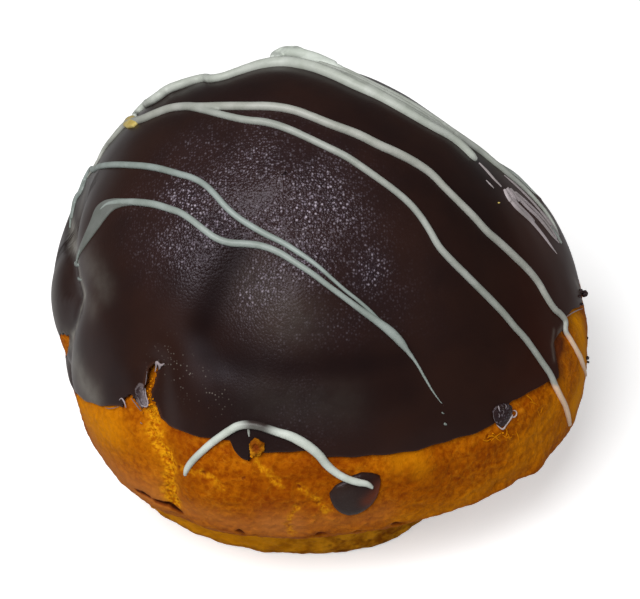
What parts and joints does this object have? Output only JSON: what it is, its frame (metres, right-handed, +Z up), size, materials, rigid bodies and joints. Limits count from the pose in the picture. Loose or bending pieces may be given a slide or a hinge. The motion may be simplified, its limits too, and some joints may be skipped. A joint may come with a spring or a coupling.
{
  "type": "cream puff",
  "caption": "Round baked choux bun with a flat foot, dipped in dark chocolate down to its belly, with piped lines of white chocolate over the top.",
  "frame": {"origin": "middle of the flat underside of the foot, on the surface that the bun stands on", "axes": "+Z up through the crown, -Y towards the side with the low arc of white chocolate and the fallen drop, +X to that side's right"},
  "size_m": [0.0775, 0.076, 0.0588],
  "materials": {
    "baked_crust": "golden brown baked choux skin, matt with a faint sheen",
    "dark_chocolate": "set dark chocolate, satin with a fine bloom",
    "white_chocolate": "set white chocolate, satin",
    "custard": "a fleck of yellow custard cream, moist"
  },
  "bodies": {
    "root": {"choux_bun": "baked_crust", "chocolate_coat": "dark_chocolate", "chocolate_drop": "dark_chocolate"}
  },
  "joints": []
}
